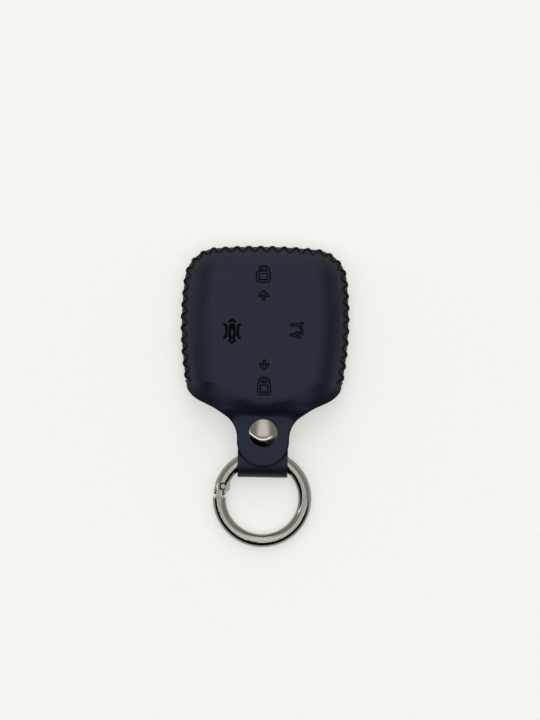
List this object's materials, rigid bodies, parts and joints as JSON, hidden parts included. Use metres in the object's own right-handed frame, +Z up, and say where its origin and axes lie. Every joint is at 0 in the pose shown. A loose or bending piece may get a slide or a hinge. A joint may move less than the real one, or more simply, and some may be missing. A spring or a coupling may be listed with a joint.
{
  "type": "key fob cover",
  "caption": "Moulded leather key fob cover with cross-stitched edges, a snapped tongue over its mouth and a strap loop that holds a spring-gate ring.",
  "frame": {"origin": "on the resting surface, at the middle of the cover's width and of its whole length", "axes": "+Z up out of the domed front, +Y to the closed end of the pocket, the ring at -Y"},
  "size_m": [0.0578, 0.1041, 0.0152],
  "materials": {
    "leather": "smooth satin, navy black",
    "thread": "waxed black thread",
    "snap_metal": "polished gunmetal plating",
    "ring_metal": "polished gunmetal plating",
    "spring_steel": "plain spring steel"
  },
  "bodies": {
    "pocket": {"front_panel": "leather", "back_panel": "leather", "ring_loop": "leather", "edge_thread": "thread", "snap_stud": "snap_metal", "snap_post": "snap_metal"},
    "flap": {"front_flap": "leather", "snap_cap": "snap_metal", "snap_socket": "snap_metal", "snap_spring": "spring_steel"},
    "ring": {"ring_body": "ring_metal", "gate_pin": "ring_metal", "gate_spring": "spring_steel"},
    "gate": {"ring_gate": "ring_metal"},
    "pusher": {"spring_pusher": "spring_steel"}
  },
  "joints": [
    {"name": "flap_lift", "type": "hinge", "parent": "pocket", "child": "flap", "pos_m": [0, 0.005, 0.0152], "axis": [-1, 0, 0], "range_deg": [0, 70], "stiffness_Nm_per_rad": 0.004, "deforming": ["snap_spring"]},
    {"name": "ring_swing", "type": "hinge", "parent": "pocket", "child": "ring", "pos_m": [0, -0.0215, 0.00515], "axis": [-1, 0, 0], "range_deg": [-20, 32]},
    {"name": "gate_open", "type": "hinge", "parent": "ring", "child": "gate", "pos_m": [-0.01345, -0.03071, 0.0042], "axis": [0, -0.1025, 0.9947], "range_deg": [0, 35], "stiffness_Nm_per_rad": 0.002, "springref_deg": -17.19},
    {"name": "pusher_slide", "type": "slide", "parent": "ring", "child": "pusher", "axis": [0.304, 0.9476, 0.0976], "range_m": [0, 0.0008], "deforming": ["gate_spring"]}
  ],
  "couplings": [
    {"joint": "pusher_slide", "follows": "gate_open", "m_per_rad": 0.00115}
  ]
}
